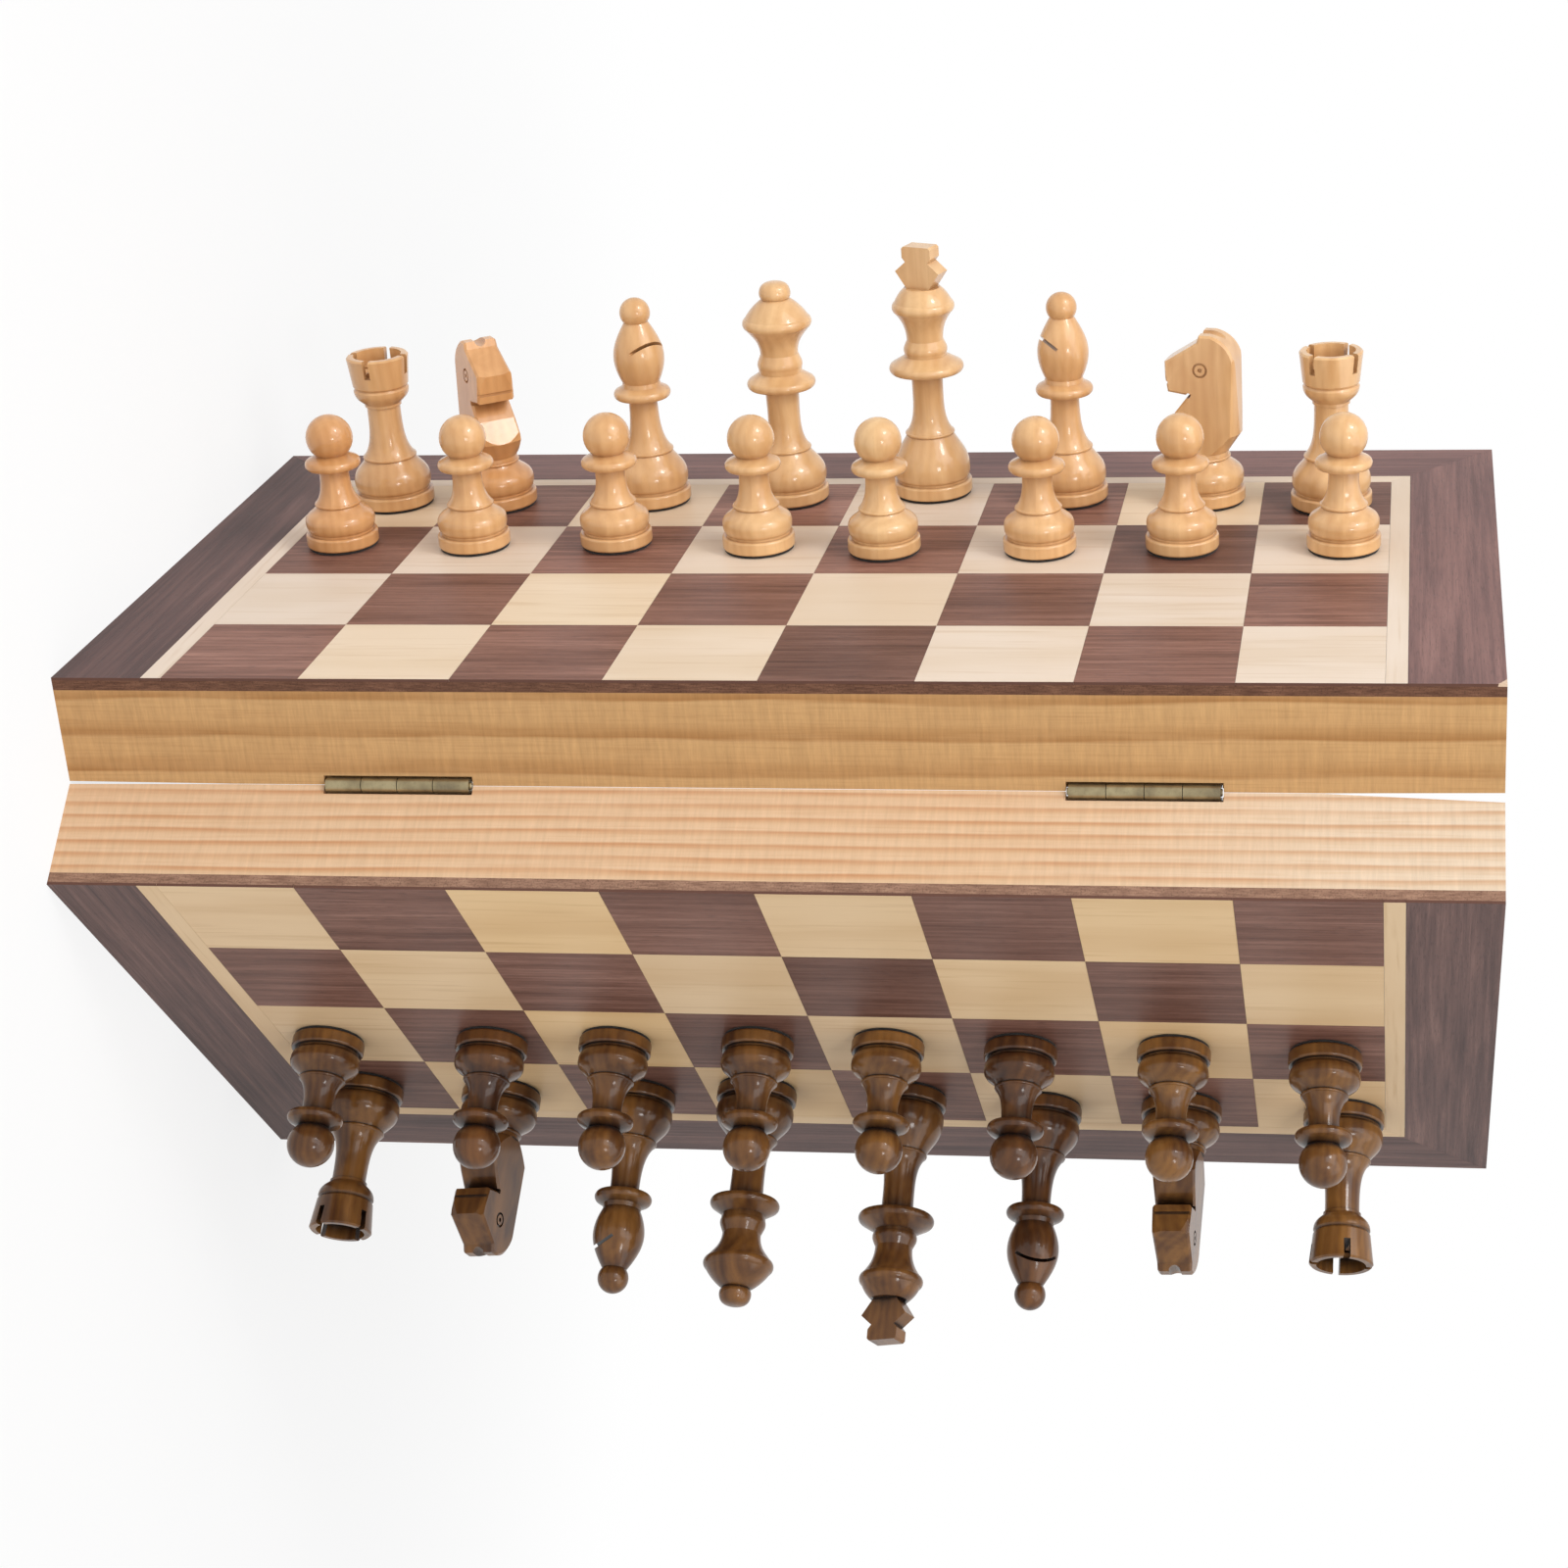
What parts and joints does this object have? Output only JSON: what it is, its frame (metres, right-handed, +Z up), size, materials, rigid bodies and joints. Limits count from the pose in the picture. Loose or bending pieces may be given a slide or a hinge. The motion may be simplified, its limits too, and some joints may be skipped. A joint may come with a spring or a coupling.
{
  "type": "folding magnetic chess board",
  "caption": "Wooden folding chess board made of hinged half boxes, half open on its end, with turned magnetic men held on the squares of both halves.",
  "frame": {"origin": "on the floor, under the middle of the whole object's outline; the board stands on its end", "axes": "+Z up along the hinge line; +Y away from the hinge along the depth of the light half; +X from the light half's playing surface inwards, to the side on which the dark half stands"},
  "size_m": [0.2234, 0.1694, 0.3],
  "materials": {
    "walnut": "satin varnish",
    "maple": "satin varnish",
    "stringing": "satin varnish",
    "plywood": "satin varnish",
    "light_half_pine": "satin varnish",
    "dark_half_pine": "satin varnish",
    "light_men_wood": "gloss varnish",
    "dark_men_wood": "gloss varnish",
    "aged_brass": "aged",
    "screw_steel": "aged",
    "sheet_steel": "plain",
    "magnet": "plain",
    "lining_felt": "felt",
    "pad_felt": "felt"
  },
  "bodies": {
    "light_half": {"light_bishop_c": "light_men_wood", "light_bishop_f": "light_men_wood", "light_half_closing_magnets": "magnet", "light_half_far_rail": "light_half_pine", "light_half_felt_lining": "lining_felt", "light_half_hinge_rail": "light_half_pine", "light_half_hinge_screws": "screw_steel", "light_half_lower_end_rail": "light_half_pine", "light_half_lower_hinge_leaf": "aged_brass", "light_half_maple_squares": "maple", "light_half_maple_stringing": "stringing", "light_half_panel": "plywood", "light_half_steel_sheet": "sheet_steel", "light_half_upper_end_rail": "light_half_pine", "light_half_upper_hinge_leaf": "aged_brass", "light_half_walnut_border": "walnut", "light_half_walnut_squares": "walnut", "light_king_e": "light_men_wood", "light_knight_b": "light_men_wood", "light_knight_g": "light_men_wood", "light_men_magnets": "magnet", "light_men_pads": "pad_felt", "light_pawns": "light_men_wood", "light_queen_d": "light_men_wood", "light_rook_a": "light_men_wood", "light_rook_h": "light_men_wood", "lower_hinge_pin": "aged_brass", "upper_hinge_pin": "aged_brass"},
    "dark_half": {"dark_bishop_c": "dark_men_wood", "dark_bishop_f": "dark_men_wood", "dark_half_closing_magnets": "magnet", "dark_half_far_rail": "dark_half_pine", "dark_half_felt_lining": "lining_felt", "dark_half_hinge_rail": "dark_half_pine", "dark_half_hinge_screws": "screw_steel", "dark_half_lower_end_rail": "dark_half_pine", "dark_half_lower_hinge_leaf": "aged_brass", "dark_half_maple_squares": "maple", "dark_half_maple_stringing": "stringing", "dark_half_panel": "plywood", "dark_half_steel_sheet": "sheet_steel", "dark_half_upper_end_rail": "dark_half_pine", "dark_half_upper_hinge_leaf": "aged_brass", "dark_half_walnut_border": "walnut", "dark_half_walnut_squares": "walnut", "dark_king_e": "dark_men_wood", "dark_knight_b": "dark_men_wood", "dark_knight_g": "dark_men_wood", "dark_men_magnets": "magnet", "dark_men_pads": "pad_felt", "dark_pawns": "dark_men_wood", "dark_queen_d": "dark_men_wood", "dark_rook_a": "dark_men_wood", "dark_rook_h": "dark_men_wood"}
  },
  "joints": [
    {"name": "fold", "type": "hinge", "parent": "light_half", "child": "dark_half", "pos_m": [-0.02851, -0.06629, 0], "axis": [0, 0, -1], "range_deg": [-50.8, 129.2]}
  ]
}
